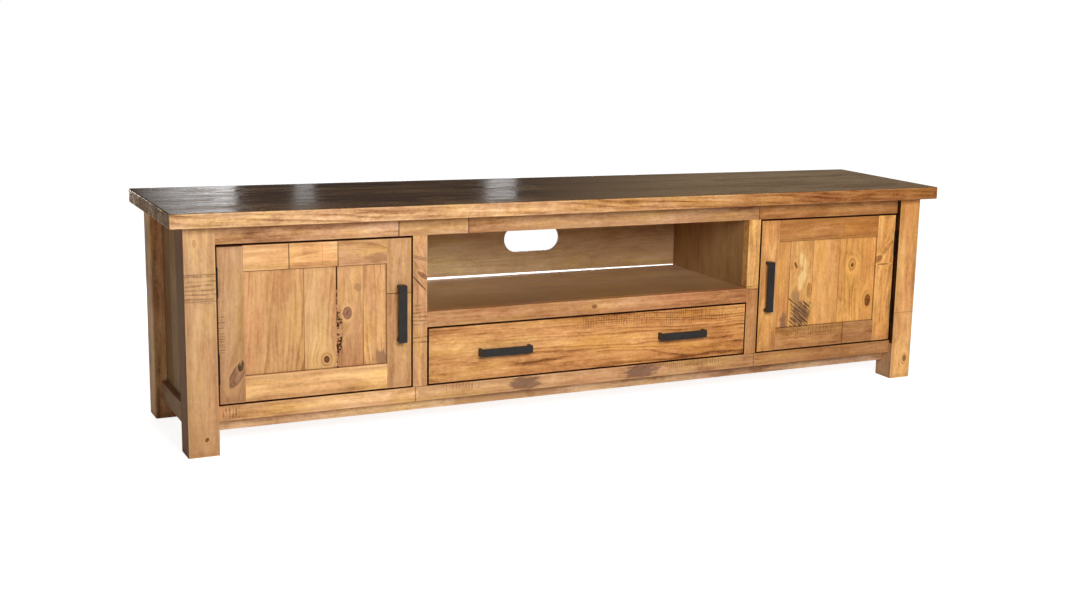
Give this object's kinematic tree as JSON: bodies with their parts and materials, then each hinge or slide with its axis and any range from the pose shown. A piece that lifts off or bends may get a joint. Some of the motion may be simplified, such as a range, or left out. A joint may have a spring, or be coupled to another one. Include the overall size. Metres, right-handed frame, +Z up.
{
  "type": "tv unit",
  "caption": "Low rustic pine tv unit on square legs, with framed cupboard doors at the ends, an open media bay with a cable slot, and a wide drawer under the bay",
  "frame": {"origin": "on the floor, under the middle of the top", "axes": "X along the front with +X to the right seen from the front, the front faces -Y, +Z is up"},
  "size_m": [2, 0.44, 0.53],
  "materials": {
    "top_wood": "satin lacquered pine planks",
    "frame_wood": "satin lacquered rustic pine, eased edges",
    "panel_wood": "satin lacquered knotty pine boards",
    "inner_wood": "plain pine board inside the carcass",
    "back_board": "thin pine faced board",
    "black_metal": "satin black paint",
    "hinge_metal": "dull antique steel",
    "slide_metal": "zinc plated steel",
    "screw_metal": "zinc plated steel",
    "catch_plastic": "brown moulded plastic"
  },
  "bodies": {
    "cabinet": {"back_panel_bay": "back_board", "back_panel_drawer": "back_board", "back_panel_left": "back_board", "back_panel_right": "back_board", "base_rail_front": "frame_wood", "base_rail_left": "frame_wood", "base_rail_rear": "frame_wood", "base_rail_right": "frame_wood", "bay_rail": "frame_wood", "bay_shelf": "inner_wood", "cabinet_screws": "screw_metal", "divider_left": "inner_wood", "divider_right": "inner_wood", "door_catches": "catch_plastic", "drawer_slide_left": "slide_metal", "drawer_slide_right": "slide_metal", "face_bottom_rail": "frame_wood", "face_stile_left": "frame_wood", "face_stile_right": "frame_wood", "face_top_rail": "frame_wood", "floor_board": "inner_wood", "hinge_frame_leaves": "hinge_metal", "hinge_pins": "hinge_metal", "leg_front_left": "frame_wood", "leg_front_right": "frame_wood", "leg_rear_left": "frame_wood", "leg_rear_right": "frame_wood", "rear_top_rail": "inner_wood", "side_panel_left": "panel_wood", "side_panel_right": "panel_wood", "top_plank_1": "top_wood", "top_plank_2": "top_wood", "top_plank_3": "top_wood"},
    "left_door": {"left_door_bottom_rail": "frame_wood", "left_door_handle": "black_metal", "left_door_hinge_leaves": "hinge_metal", "left_door_hinge_stile": "frame_wood", "left_door_lock_stile": "frame_wood", "left_door_panel": "panel_wood", "left_door_screws": "screw_metal", "left_door_strike_plate": "slide_metal", "left_door_top_rail": "frame_wood"},
    "right_door": {"right_door_bottom_rail": "frame_wood", "right_door_handle": "black_metal", "right_door_hinge_leaves": "hinge_metal", "right_door_hinge_stile": "frame_wood", "right_door_lock_stile": "frame_wood", "right_door_panel": "panel_wood", "right_door_screws": "screw_metal", "right_door_strike_plate": "slide_metal", "right_door_top_rail": "frame_wood"},
    "drawer": {"drawer_back": "inner_wood", "drawer_bottom": "inner_wood", "drawer_front": "frame_wood", "drawer_handle_left": "black_metal", "drawer_handle_right": "black_metal", "drawer_runners": "slide_metal", "drawer_screws": "screw_metal", "drawer_side_left": "inner_wood", "drawer_side_right": "inner_wood"}
  },
  "joints": [
    {"name": "left_door_hinge", "type": "hinge", "parent": "cabinet", "child": "left_door", "pos_m": [-0.8997, -0.1775, 0.281], "axis": [0, 0, -1], "range_deg": [0, 110]},
    {"name": "right_door_hinge", "type": "hinge", "parent": "cabinet", "child": "right_door", "pos_m": [0.8997, -0.1775, 0.281], "axis": [0, 0, 1], "range_deg": [0, 110]},
    {"name": "drawer_slide", "type": "slide", "parent": "cabinet", "child": "drawer", "axis": [0, -1, 0], "range_m": [0, 0.25]}
  ]
}
